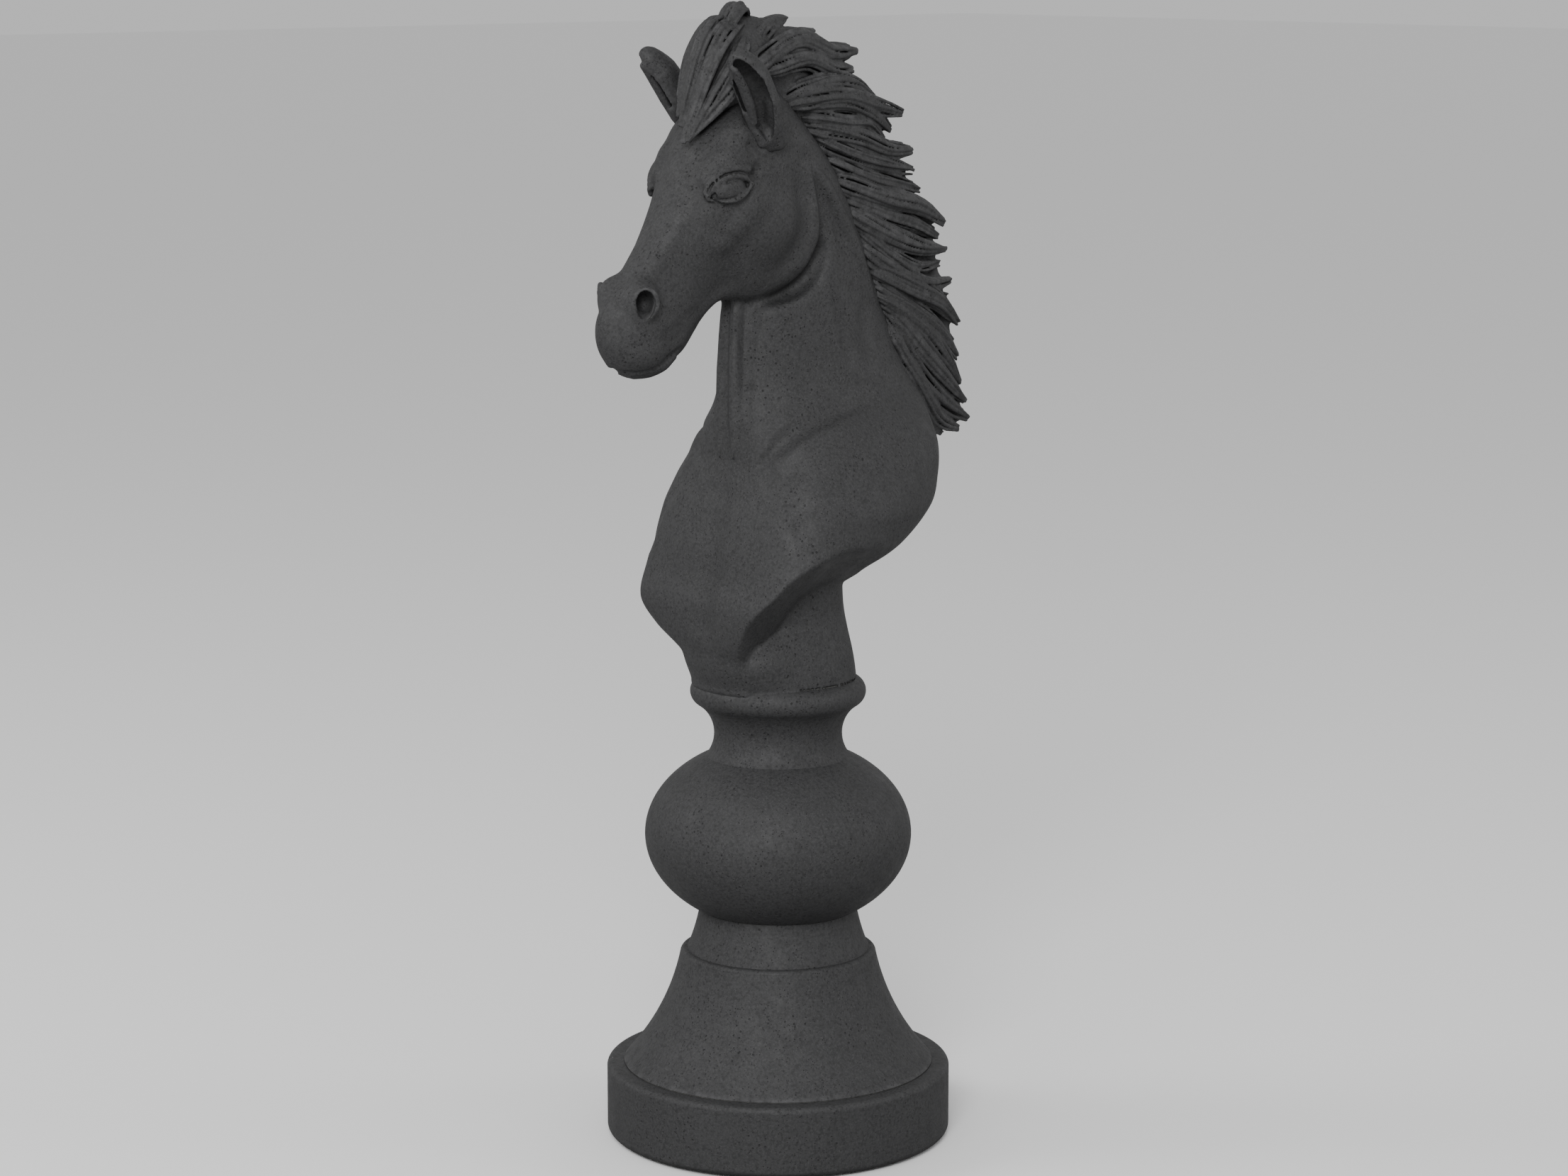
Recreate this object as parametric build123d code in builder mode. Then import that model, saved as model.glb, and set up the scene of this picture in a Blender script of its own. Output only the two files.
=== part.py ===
"""Giant garden chess knight: a hollow cast horse bust on a stacked, turned pedestal.

Millimetres. +Z is up, the origin is the centre of the ground contact, and the horse faces -Y.
"""

import os
from math import acos, asin, cos, degrees, pi, sin

from build123d import *

os.makedirs("parts", exist_ok=True)

# ---------------------------------------------------------------- driving dimensions
wall = 10.0  # cast wall of the pedestal sections
bed = 1.0  # adhesive mortar between two castings
fit = 0.05  # radial clearance of a running or push fit

ground_gap = 2.0  # the rubber pads hold the castings this far off the ground
plinth_radius = 155.5
plinth_top = 66.0
plinth_deck = 14.0
plinth_edge = 5.0
plinth_chamber_radius = 127.0
recess_radius = 146.0
recess_depth = 6.0
recess_top = ground_gap + recess_depth

skirt_foot_radius = 140.0
skirt_foot_width = 18.0
skirt_rim_radius = 88.5
skirt_inner_rim_radius = 73.5
skirt_top = 171.0
skirt_socket_depth = 8.0

cone_foot_radius = 82.2
cone_top_radius = 71.0
cone_top = 208.5

ball_radius = 120.0
ball_half_height = 85.0
ball_centre = 277.0
ball_neck_radius = 64.5
urn_waist_radius = 57.5
urn_waist_height = 369.0
collar_radius = 78.8
collar_height = 409.0
urn_top = 419.5
socket_radius = 47.0
spigot_radius = 46.0
socket_foot = 352.0
spigot_length = 32.0
stem_radius = 70.0

rod_radius = 6.0
rod_hole_radius = 6.5  # loose hole for the tie rod through a casting
nut_across_flats = 19.0
nut_height = 10.0
plate_thickness = 6.0
washer_thickness = 2.5
washer_radius = 14.0
rod_overhang = 6.0
cavity_floor = 440.0
cavity_floor_radius = 42.0
bust_wall = 13.0

armature_radius = 5.0
dowel_radius = 3.0
ear_pin_radius = 2.0

base_plate_thickness = 5.0
base_plate_radius = 145.0
screw_count = 6
screw_circle = 136.5
screw_radius = 2.5
screw_head_radius = 4.5
screw_length = 18.0
screw_anchor_radius = 4.0
screw_anchor_length = 15.0
pad_radius = 14.0
pad_circle = 118.0

plug_radius = 20.0
plug_head_radius = 23.0
plug_head_height = 4.0
plug_offset = 72.0
plug_length = 16.0
plug_slot = (34.0, 5.0)
plug_slot_depth = 3.0
seal_thickness = 2.0
bush_radius = 26.0
bush_flange_radius = 32.0
bush_flange_height = 4.0

# Horizontal sections of stem, chest and neck:
# height, half width, front y, back y, y of the widest place, squareness of the front.
body_sections = [
    (420.5, 70, -76, 64, -5, 2.0),
    (442, 74, -82, 61, -14, 2.2),
    (468, 92, -87, 57, -36, 3.2),
    (495, 107, -87, 56, -40, 4.0),
    (520, 112, -83, 62, -30, 3.4),
    (545, 112, -80, 124, -15, 3.0),
    (570, 112, -74, 153, 5, 3.0),
    (597, 105, -66, 164, 20, 3.0),
    (625, 93, -60, 167, 36, 2.8),
    (650, 76, -62, 160, 45, 2.4),
    (680, 56, -65, 151, 42, 2.0),
    (720, 47, -64, 134, 32, 2.0),
    (770, 45, -58, 108, 25, 2.0),
    (825, 44, -46, 82, 15, 2.0),
    (880, 42, -50, 48, -2, 2.0),
    (920, 35, -62, 8, -26, 2.0),
]

# The head is lofted down the face: distance along the face, half width, brow-side and
# jaw-side distance from the face line.
face_origin = Vector(0, -101, 902)
face_direction = Vector(0, -0.57, -0.82).normalized()
head_sections = [
    (-58, 30, -14, -85),
    (-25, 47, -2, -150),
    (15, 56, 3, -163),
    (50, 50, 3, -148),
    (90, 35, 1, -113),
    (125, 28, 0, -90),
    (160, 32, 3, -88),
    (190, 30, -8, -72),
    (206, 16, -26, -52),
]

# ---------------------------------------------------------------- helpers


def power_section(half_width, front, back, widest, squareness, count=20):
    """Points round a horizontal section that is squarer at the front than at the back."""
    points = []
    for i in range(count):
        turn = 2 * pi * i / count
        c, s = cos(turn), sin(turn)
        depth = back - widest if s > 0 else widest - front
        power = 2.0 if s > 0 else squareness
        reach = (abs(c / half_width) ** power + abs(s / depth) ** power) ** (-1 / power)
        points.append((reach * c, widest + reach * s))
    return points


def smaller(section, by):
    """The same body section with its wall taken off."""
    height, half_width, front, back, widest, squareness = section
    return (height, half_width - by, front + by, back - by, widest, squareness)


def ring(inner, outer, low, high):
    """A plain ring round the Z axis, for washers, beds and seals."""
    with BuildPart() as made:
        with BuildSketch(Plane.XY.offset(low)):
            Circle(outer)
            Circle(inner, mode=Mode.SUBTRACT)
        extrude(amount=high - low)
    return made


def save(part, name):
    """Labels a finished piece and writes it to its own file."""
    part.label = name
    export_step(part, f"parts/{name}.step")


# ---------------------------------------------------------------- plinth
with BuildPart() as plinth:
    with BuildSketch(Plane.XY.offset(ground_gap)):
        Circle(plinth_radius)
    extrude(amount=plinth_top - ground_gap)
    fillet(plinth.edges().group_by(Axis.Z)[0], plinth_edge + 1)
    fillet(plinth.edges().group_by(Axis.Z)[-1], plinth_edge)
    with BuildSketch(Plane.XY.offset(ground_gap)):
        Circle(plinth_chamber_radius)
    extrude(amount=plinth_top - plinth_deck - ground_gap, mode=Mode.SUBTRACT)
    with BuildSketch(Plane.XY.offset(ground_gap)):
        Circle(recess_radius)
    extrude(amount=recess_depth, mode=Mode.SUBTRACT)
    with Locations((0, 0, plinth_top)):
        Hole(rod_hole_radius)
    with BuildSketch(Plane.XY.offset(recess_top)):
        with PolarLocations(screw_circle, screw_count):
            Circle(screw_anchor_radius)
    extrude(amount=screw_anchor_length + 1, mode=Mode.SUBTRACT)
save(plinth.part, "plinth")

# ---------------------------------------------------------------- flared skirt
with BuildPart() as skirt:
    with BuildSketch(Plane.XZ):
        with BuildLine():
            rim = (skirt_rim_radius, skirt_top - 4)
            flare = ThreePointArc((skirt_foot_radius, plinth_top + bed), (104.3, 120), rim)
            shoulder = ThreePointArc(rim, (87.2, skirt_top - 1.2), (84, skirt_top))
            Polyline(
                shoulder @ 1,
                (cone_foot_radius + fit, skirt_top),
                (cone_foot_radius + fit, skirt_top - skirt_socket_depth),
                (skirt_inner_rim_radius, skirt_top - skirt_socket_depth),
            )
            inside = ThreePointArc(
                (skirt_inner_rim_radius, skirt_top - skirt_socket_depth),
                (93, 116),
                (skirt_foot_radius - skirt_foot_width, plinth_top + bed),
            )
            Line(inside @ 1, flare @ 0)
        make_face()
    revolve(axis=Axis.Z)
save(skirt.part, "skirt")

# ---------------------------------------------------------------- upper cone
cone_foot = skirt_top - skirt_socket_depth + bed
with BuildPart() as cone:
    with BuildSketch(Plane.XZ):
        with BuildLine():
            waist = ThreePointArc((cone_foot_radius, skirt_top), (76, 188), (cone_top_radius, cone_top))
            Polyline(
                waist @ 1,
                (cone_top_radius - wall, cone_top),
                (cone_foot_radius - wall, cone_foot),
                (cone_foot_radius, cone_foot),
                waist @ 0,
            )
        make_face()
    revolve(axis=Axis.Z)
save(cone.part, "upper_cone")

# ---------------------------------------------------------------- urn: ball, waist and collar
urn_foot = cone_top + bed
low_turn = degrees(asin((ball_centre - urn_foot) / ball_half_height))
ball_sweep = low_turn + degrees(acos(ball_neck_radius / ball_radius))
hollow_radius = ball_radius - wall
hollow_half_height = ball_half_height - wall
with BuildPart() as urn:
    with BuildSketch(Plane.XZ):
        with BuildLine():
            ball = EllipticalCenterArc(
                (0, ball_centre), ball_radius, ball_half_height, start_angle=-low_turn, arc_size=ball_sweep
            )
            waist = ThreePointArc(ball @ 1, (urn_waist_radius, urn_waist_height), (73, 397))
            collar = ThreePointArc(waist @ 1, (collar_radius, collar_height), (stem_radius, urn_top))
            Polyline(collar @ 1, (socket_radius, urn_top), (socket_radius, socket_foot))
            hollow = EllipticalCenterArc(
                (0, ball_centre),
                hollow_radius,
                hollow_half_height,
                start_angle=-low_turn,
                arc_size=ball_sweep,
            )
            Line((socket_radius, socket_foot), hollow @ 1)
            Polyline(hollow @ 0, (cone_top_radius - wall, urn_foot), ball @ 0)
        make_face()
    revolve(axis=Axis.Z)
save(urn.part, "urn")

# ---------------------------------------------------------------- adhesive beds
bed_rings = {
    "skirt_bed": (skirt_foot_radius - skirt_foot_width, skirt_foot_radius - 0.5, plinth_top),
    "cone_bed": (cone_foot_radius - wall, cone_foot_radius - 1, skirt_top - skirt_socket_depth),
    "urn_bed": (cone_top_radius - wall, cone_top_radius - 0.5, cone_top),
    "bust_bed": (socket_radius + 1, stem_radius - 1, urn_top),
}
for name, (inner, outer, low) in bed_rings.items():
    save(ring(inner, outer, low, low + bed).part, name)

# ---------------------------------------------------------------- neck armature, a bent bar
with BuildPart() as armature:
    with BuildLine() as armature_path:
        Spline(
            (0, 24, cavity_floor + 6),
            (0, 42, 560),
            (0, 40, 720),
            (0, 2, 850),
            (0, -62, 850),
            (0, -120, 780),
            tangents=[(0, 0, 1), (0, -0.6, -0.8)],
        )
    with BuildSketch(Plane(armature_path.line @ 0, z_dir=armature_path.line % 0)):
        Circle(armature_radius)
    sweep()
save(armature.part, "neck_armature")

# ---------------------------------------------------------------- horse bust casting
face_up = face_direction.cross(Vector(1, 0, 0))
bust_foot = urn_top + bed
with BuildPart() as neck_and_chest:
    for section in body_sections:
        with BuildSketch(Plane.XY.offset(section[0])):
            with BuildLine():
                Spline(*power_section(*section[1:]), periodic=True)
            make_face()
    loft()

with BuildPart() as head:
    for along, half_width, brow, jaw in head_sections:
        middle = face_origin + face_direction * along + face_up * ((brow + jaw) / 2)
        with BuildSketch(Plane(origin=middle, x_dir=(1, 0, 0), z_dir=face_direction)):
            Ellipse(half_width, (brow - jaw) / 2)
    loft()

with BuildPart() as chest_hollow:
    for section in body_sections[2:11]:
        inner = smaller(section, bust_wall)
        with BuildSketch(Plane.XY.offset(inner[0])):
            with BuildLine():
                Spline(*power_section(*inner[1:]), periodic=True)
            make_face()
    loft()

with BuildPart() as bust_outer:
    add(neck_and_chest.part)
    add(head.part)
    with BuildSketch(Plane.XY.offset(bust_foot - spigot_length)):
        Circle(spigot_radius)
    extrude(amount=spigot_length)

with BuildPart() as bust:
    add(bust_outer.part)
    add(chest_hollow.part, mode=Mode.SUBTRACT)
    with BuildSketch(Plane.XY.offset(cavity_floor)):
        Circle(cavity_floor_radius)
    extrude(amount=40, mode=Mode.SUBTRACT)
    with BuildSketch(Plane.XY.offset(bust_foot - spigot_length)):
        Circle(rod_hole_radius)
    extrude(amount=80, mode=Mode.SUBTRACT)
    add(armature.part, mode=Mode.SUBTRACT)

# ---------------------------------------------------------------- ears
ear_axis = Vector(19, -38, 80).normalized()
ear_root = Vector(41, -60, 890)
ear_across = Vector(0.77, 0.64, 0)
# height up the ear, half width, half depth
ear_sections = [(0, 16, 13), (30, 20, 14), (58, 18, 11), (80, 9, 6), (91, 2, 1.5)]
with BuildPart() as ear_blank:
    for along, half_width, half_depth in ear_sections:
        place = ear_root + ear_axis * along
        with BuildSketch(Plane(origin=place, x_dir=ear_across, z_dir=ear_axis)):
            Ellipse(half_width, half_depth)
    loft()

with BuildPart() as ear_pin:
    with BuildSketch(Plane(origin=ear_root - ear_axis * 14, z_dir=ear_axis)):
        Circle(ear_pin_radius)
    extrude(amount=46)

with BuildPart() as left_ear:
    add(ear_blank.part)
    add(bust_outer.part, mode=Mode.SUBTRACT)
    add(ear_pin.part, mode=Mode.SUBTRACT)
save(left_ear.part, "left_ear")

with BuildPart() as right_ear:
    mirror(left_ear.part, about=Plane.YZ)
save(right_ear.part, "right_ear")

with BuildPart() as ear_pins:
    add(ear_pin.part)
    mirror(ear_pin.part, about=Plane.YZ)
save(ear_pins.part, "ear_pins")

# ---------------------------------------------------------------- mane, running over the poll
# Side outline of the locks, then the root line along the crest back to the forelock.
mane_outline = [
    (-95, 985), (-78, 1003), (-50, 1017), (-34, 1003), (-1, 1004), (8, 994), (33, 992), (87, 974),
    (80, 952), (118, 932), (147, 914), (134, 898), (163, 886), (158, 862), (172, 848),
    (203, 815), (196, 800), (212, 782), (206, 760), (224, 730), (220, 700), (232, 668),
    (244, 634), (225, 618), (203, 619),
]
mane_root = [(150, 655), (118, 720), (88, 776), (60, 830), (20, 880), (-40, 905), (-96, 900), (-108, 912)]
mane_half_width = 30.0
with BuildPart() as mane_blank:
    with BuildSketch(Plane.YZ):
        with BuildLine():
            Polyline(*mane_outline, *mane_root, close=True)
        make_face()
    extrude(amount=mane_half_width, both=True, taper=12)

# Steel dowels that locate the mane on the crest of the neck.
dowel_places = [(62, 850), (104, 765), (138, 690)]
with BuildPart() as mane_dowels:
    for y, height in dowel_places:
        with BuildSketch(Plane(origin=(0, y - 22, height), z_dir=(0, 1, 0))):
            Circle(dowel_radius)
        extrude(amount=50)
save(mane_dowels.part, "mane_dowels")

with BuildPart() as mane:
    add(mane_blank.part)
    add(bust_outer.part, mode=Mode.SUBTRACT)
    add(left_ear.part, mode=Mode.SUBTRACT)
    add(right_ear.part, mode=Mode.SUBTRACT)
    add(mane_dowels.part, mode=Mode.SUBTRACT)
save(mane.part, "mane")

with BuildPart() as bust_drilled:
    add(bust.part)
    add(mane_dowels.part, mode=Mode.SUBTRACT)
    add(ear_pins.part, mode=Mode.SUBTRACT)
save(bust_drilled.part, "horse_bust")

# ---------------------------------------------------------------- tie rod and its hardware
deck_underside = plinth_top - plinth_deck
clamp_top = cavity_floor + plate_thickness + washer_thickness
rod_low = deck_underside - plate_thickness - washer_thickness - nut_height - rod_overhang
rod_high = clamp_top + nut_height + rod_overhang
rod_bore = rod_radius + fit

with BuildPart() as tie_rod:
    with BuildSketch(Plane.XY.offset(rod_low)):
        Circle(rod_radius)
    extrude(amount=rod_high - rod_low)
    chamfer(tie_rod.edges(), 1.0)
save(tie_rod.part, "tie_rod")


def plate_and_nut(name, plate_low, washer_low, nut_low, plate_radius):
    """A round plate on the tie rod, with its washer and a hexagon nut."""
    save(ring(rod_bore, plate_radius, plate_low, plate_low + plate_thickness).part, f"{name}_plate")
    save(ring(rod_bore, washer_radius, washer_low, washer_low + washer_thickness).part, f"{name}_washer")
    with BuildPart() as nut:
        with BuildSketch(Plane.XY.offset(nut_low)):
            RegularPolygon(nut_across_flats / 2, 6, major_radius=False)
            Circle(rod_bore, mode=Mode.SUBTRACT)
        extrude(amount=nut_height)
    save(nut.part, f"{name}_nut")


anchor_low = deck_underside - plate_thickness
plate_and_nut(
    "anchor", anchor_low, anchor_low - washer_thickness, anchor_low - washer_thickness - nut_height, 38.0
)
plate_and_nut("clamp", cavity_floor, cavity_floor + plate_thickness, clamp_top, 36.0)

# ---------------------------------------------------------------- underside: base plate and pads
base_plate_low = recess_top - base_plate_thickness

with BuildPart() as base_plate:
    with BuildSketch(Plane.XY.offset(base_plate_low)):
        Circle(base_plate_radius)
        with Locations((0, plug_offset)):
            Circle(bush_radius + fit, mode=Mode.SUBTRACT)
    extrude(amount=recess_top - base_plate_low)
    with Locations(Plane(origin=(0, 0, base_plate_low), z_dir=(0, 0, -1))):
        with PolarLocations(screw_circle, screw_count):
            CounterSinkHole(screw_radius + 0.3, screw_head_radius + 0.5)
save(base_plate.part, "base_plate")

upright = (Align.CENTER, Align.CENTER, Align.MIN)
with BuildPart() as base_screws:
    with Locations(Plane.XY.offset(base_plate_low + 0.3)):
        with PolarLocations(screw_circle, screw_count):
            Cone(screw_head_radius, screw_radius, screw_head_radius - screw_radius, align=upright)
            Cylinder(screw_radius, screw_length, align=upright)
save(base_screws.part, "base_screws")

with BuildPart() as screw_anchors:
    with BuildSketch(Plane.XY.offset(recess_top)):
        with PolarLocations(screw_circle, screw_count):
            Circle(screw_anchor_radius - fit)
        with PolarLocations(screw_circle, screw_count):
            Circle(screw_radius + fit, mode=Mode.SUBTRACT)
    extrude(amount=screw_anchor_length)
save(screw_anchors.part, "screw_anchors")

with BuildPart() as foot_pads:
    with BuildSketch():
        Circle(pad_radius)
        with PolarLocations(pad_circle, screw_count, start_angle=30):
            Circle(pad_radius)
    extrude(amount=base_plate_low)
    fillet(foot_pads.edges().group_by(Axis.Z)[0], 1.0)
save(foot_pads.part, "foot_pads")

# ---------------------------------------------------------------- ballast and its filler plug
ballast_inner_radius = 42.0
ballast_height = 36.0
with BuildPart() as ballast:
    with BuildSketch(Plane.XY.offset(recess_top + 0.5)):
        Circle(plinth_chamber_radius - 0.5)
        Circle(ballast_inner_radius, mode=Mode.SUBTRACT)
        with Locations((0, plug_offset)):
            Circle(bush_flange_radius + 2, mode=Mode.SUBTRACT)
    extrude(amount=ballast_height)
save(ballast.part, "ballast_fill")

plug_axis = Plane(origin=(0, plug_offset, 0))
head_low = base_plate_low + 0.5
seal_low = head_low + plug_head_height
seat = seal_low + seal_thickness
bush_top = seat + plug_length

with BuildPart() as filler_bush:
    with BuildSketch(plug_axis.offset(base_plate_low)):
        Circle(bush_radius)
    extrude(amount=bush_top - base_plate_low)
    with BuildSketch(plug_axis.offset(recess_top)):
        Circle(bush_flange_radius)
    extrude(amount=bush_flange_height)
    with BuildSketch(plug_axis.offset(base_plate_low)):
        Circle(plug_radius + fit)
    extrude(amount=bush_top - base_plate_low, mode=Mode.SUBTRACT)
    with BuildSketch(plug_axis.offset(base_plate_low)):
        Circle(plug_head_radius + 0.3)
    extrude(amount=seat - base_plate_low, mode=Mode.SUBTRACT)
save(filler_bush.part, "filler_bush")

with BuildPart() as filler_plug:
    with BuildSketch(plug_axis.offset(head_low)):
        Circle(plug_head_radius)
    extrude(amount=plug_head_height)
    with BuildSketch(plug_axis.offset(seal_low)):
        Circle(plug_radius)
    extrude(amount=plug_length)
    with BuildSketch(plug_axis.offset(head_low)):
        Rectangle(*plug_slot)
        Rectangle(*reversed(plug_slot))
    extrude(amount=plug_slot_depth, mode=Mode.SUBTRACT)
save(filler_plug.part, "filler_plug")

with BuildPart() as plug_seal:
    with BuildSketch(plug_axis.offset(seal_low)):
        Circle(plug_head_radius - 0.2)
        Circle(plug_radius + fit, mode=Mode.SUBTRACT)
    extrude(amount=seal_thickness)
save(plug_seal.part, "plug_seal")
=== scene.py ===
"""The looks of the giant chess knight: a sculpted horse bust and mane on its turned pedestal."""

from math import cos, pi, radians, sin

import bpy
import numpy as np
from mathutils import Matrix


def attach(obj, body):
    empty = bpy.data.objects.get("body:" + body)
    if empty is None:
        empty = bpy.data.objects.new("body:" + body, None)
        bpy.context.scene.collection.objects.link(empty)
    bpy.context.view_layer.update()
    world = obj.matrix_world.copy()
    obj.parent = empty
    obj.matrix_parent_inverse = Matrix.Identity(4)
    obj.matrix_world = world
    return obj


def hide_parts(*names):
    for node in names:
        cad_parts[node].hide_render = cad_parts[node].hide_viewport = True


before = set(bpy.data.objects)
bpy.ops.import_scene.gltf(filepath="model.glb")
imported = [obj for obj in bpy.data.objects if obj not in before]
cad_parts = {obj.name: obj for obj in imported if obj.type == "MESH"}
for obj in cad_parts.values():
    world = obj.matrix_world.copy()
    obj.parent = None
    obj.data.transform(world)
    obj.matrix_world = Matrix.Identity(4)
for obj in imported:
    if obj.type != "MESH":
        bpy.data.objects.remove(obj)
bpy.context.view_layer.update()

import openvdb
from mathutils import Vector

MM = 0.001
FAR = 30.0  # depth, in mm, beyond which the clay keeps no distance
# cell sizes of the sculpted bust, the mane and the ears, in mm
FINE = 1.3
HAIR_FINE = 1.0
EAR_FINE = 0.9
CURVE_POINTS = 16  # points that a curve is drawn with, unless it says otherwise


# ---------------------------------------------------------------- clay: shapes as distances
def blend_min(a, b, soft):
    """The nearer of two distances, with a rounded fillet of about that size between them."""
    h = np.clip(0.5 + 0.5 * (b - a) / soft, 0.0, 1.0)
    return b + (a - b) * h - soft * h * (1.0 - h)


def blend_max(a, b, soft):
    """The farther of two distances, with the same fillet."""
    return -blend_min(-a, -b, soft)


def smooth_step(low, high, value):
    """0 up to low, 1 from high on, and an even S between them."""
    t = np.clip((value - low) / (high - low), 0.0, 1.0)
    return t * t * (3.0 - 2.0 * t)


class Clay:
    """A block of distances, in mm, that shapes are added to and cut from."""

    def __init__(self, low, high, step):
        self.low = np.array(low, float)
        self.step = step
        self.shape = np.ceil((np.array(high) - self.low) / step).astype(int) + 1
        self.field = np.full(self.shape, FAR, np.float32)

    def cells(self, low, high):
        """The block's cells inside a box, as slices and as x, y and z coordinates."""
        first, last = ((np.array(corner) - self.low) / self.step for corner in (low, high))
        first = np.clip(np.floor(first), 0, self.shape - 2).astype(int)
        last = np.clip(np.ceil(last) + 1, first + 2, self.shape).astype(int)
        axes = [self.low[k] + self.step * np.arange(first[k], last[k]) for k in range(3)]
        x, y, z = np.meshgrid(*[a.astype(np.float32) for a in axes], indexing="ij", sparse=True)
        return tuple(slice(a, b) for a, b in zip(first, last)), x, y, z

    def add(self, shape, soft, sign=1):
        """Adds a shape, or cuts it away with sign -1. A shape is its box and its distance function.
        soft is the size of the fillet, or a function of the height that gives it."""
        low, high, distance = shape
        reach = 2 * (soft(low[2]) + soft(high[2]) if callable(soft) else soft)
        where, x, y, z = self.cells(np.array(low) - reach, np.array(high) + reach)
        soft = soft(z) if callable(soft) else soft
        d = distance(x, y, z)
        old = self.field[where]
        self.field[where] = blend_min(old, d, soft) if sign > 0 else blend_max(old, -d, soft)

    def cut(self, shape, soft):
        self.add(shape, soft, sign=-1)

    def swell(self, shape, height, width):
        """Raises the surface by up to height near a shape, falling away over width.
        A negative height sinks it."""
        low, high, distance = shape
        where, x, y, z = self.cells(np.array(low) - width, np.array(high) + width)
        near = 1.0 - smooth_step(0.0, width, distance(x, y, z))
        self.field[where] -= height * near

    def ridge(self, points, radii, soft, count=CURVE_POINTS):
        """A rounded bar laid on along a curve."""
        self.add(rope(curve(points, count), radii), soft)

    def groove(self, points, radii, soft):
        """The same, cut away."""
        self.cut(rope(curve(points), radii), soft)

    def stroke(self, points, radii, height, width):
        """A line with soft sides along a curve. It fades out where its radii are negative."""
        self.swell(rope(curve(points), radii), height, width)

    def mirror(self):
        """Turns a half that starts at X = 0 into the whole."""
        self.field = np.concatenate([self.field[:0:-1], self.field], axis=0)
        self.shape = np.array(self.field.shape)
        self.low[0] = -(self.shape[0] // 2) * self.step

    def piece(self, name, flip=False):
        """The surface as a closed Blender mesh, in metres, flipped to the other side if asked."""
        field, low = self.field, self.low
        if flip:
            field = field[::-1]
            low = np.array([-low[0] - (field.shape[0] - 1) * self.step, low[1], low[2]])
        field = np.clip(field, -FAR, FAR)
        grid = openvdb.FloatGrid(FAR)
        grid.copyFromArray(np.ascontiguousarray(field, np.float32))
        points, quads = grid.convertToQuads()
        mesh = bpy.data.meshes.new(name)
        mesh.vertices.add(len(points))
        mesh.vertices.foreach_set("co", ((points * self.step + low) * MM).astype(np.float32).ravel())
        mesh.loops.add(quads.size)
        mesh.loops.foreach_set("vertex_index", quads[:, ::-1].astype(np.int32).ravel())
        mesh.polygons.add(len(quads))
        mesh.polygons.foreach_set("loop_start", np.arange(0, quads.size, 4, dtype=np.int32))
        mesh.update(calc_edges=True)
        mesh.validate()
        mesh.polygons.foreach_set("use_smooth", np.ones(len(quads), bool))
        piece = bpy.data.objects.new(name, mesh)
        bpy.context.scene.collection.objects.link(piece)
        return piece


def box_round(points, reach):
    """The corners of the box that holds some points, widened by reach."""
    points = np.array(points, float)
    return points.min(0) - reach, points.max(0) + reach


def ball(centre, radii, turn=(0, 0, 0)):
    """An ellipsoid. turn is its tilt about X, Y and Z, in degrees."""
    radii = np.array(radii, float)
    rx, ry, rz = (radians(a) for a in turn)
    about_x = np.array([[1, 0, 0], [0, cos(rx), -sin(rx)], [0, sin(rx), cos(rx)]])
    about_y = np.array([[cos(ry), 0, sin(ry)], [0, 1, 0], [-sin(ry), 0, cos(ry)]])
    about_z = np.array([[cos(rz), -sin(rz), 0], [sin(rz), cos(rz), 0], [0, 0, 1]])
    m = (about_z @ about_y @ about_x).T

    def distance(x, y, z):
        dx, dy, dz = x - centre[0], y - centre[1], z - centre[2]
        u = (m[0][0] * dx + m[0][1] * dy + m[0][2] * dz) / radii[0]
        v = (m[1][0] * dx + m[1][1] * dy + m[1][2] * dz) / radii[1]
        w = (m[2][0] * dx + m[2][1] * dy + m[2][2] * dz) / radii[2]
        near = np.sqrt(u * u + v * v + w * w) + 1e-6
        slope = np.sqrt((u / radii[0]) ** 2 + (v / radii[1]) ** 2 + (w / radii[2]) ** 2) + 1e-6
        return near * (near - 1.0) / slope

    return (*box_round([centre], radii.max()), distance)


def rope(points, radii, flat=None, squash=1.0):
    """A rounded tube along straight stretches between points. radii is one radius, or several
    spread evenly from the first point to the last. flat is a direction in which the tube is
    squash times as thick."""
    points = np.array(points, float)
    radii = np.atleast_1d(np.array(radii, float))
    radii = np.interp(np.linspace(0, 1, len(points)), np.linspace(0, 1, len(radii)), radii)
    if flat is not None:
        flat = np.array(flat, float) / np.linalg.norm(flat)

    def distance(x, y, z):
        best = None
        for a, b, ra, rb in zip(points[:-1], points[1:], radii[:-1], radii[1:]):
            along = b - a
            t = (x - a[0]) * along[0] + (y - a[1]) * along[1] + (z - a[2]) * along[2]
            t = np.clip(t / (along @ along), 0.0, 1.0)
            dx, dy, dz = x - a[0] - t * along[0], y - a[1] - t * along[1], z - a[2] - t * along[2]
            square = dx * dx + dy * dy + dz * dz
            if flat is not None:
                off = dx * flat[0] + dy * flat[1] + dz * flat[2]
                square = square + off * off * (1.0 / squash**2 - 1.0)
            d = np.sqrt(square) - (ra + (rb - ra) * t)
            best = d if best is None else np.minimum(best, d)
        return best

    return (*box_round(points, radii.max()), distance)


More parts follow.
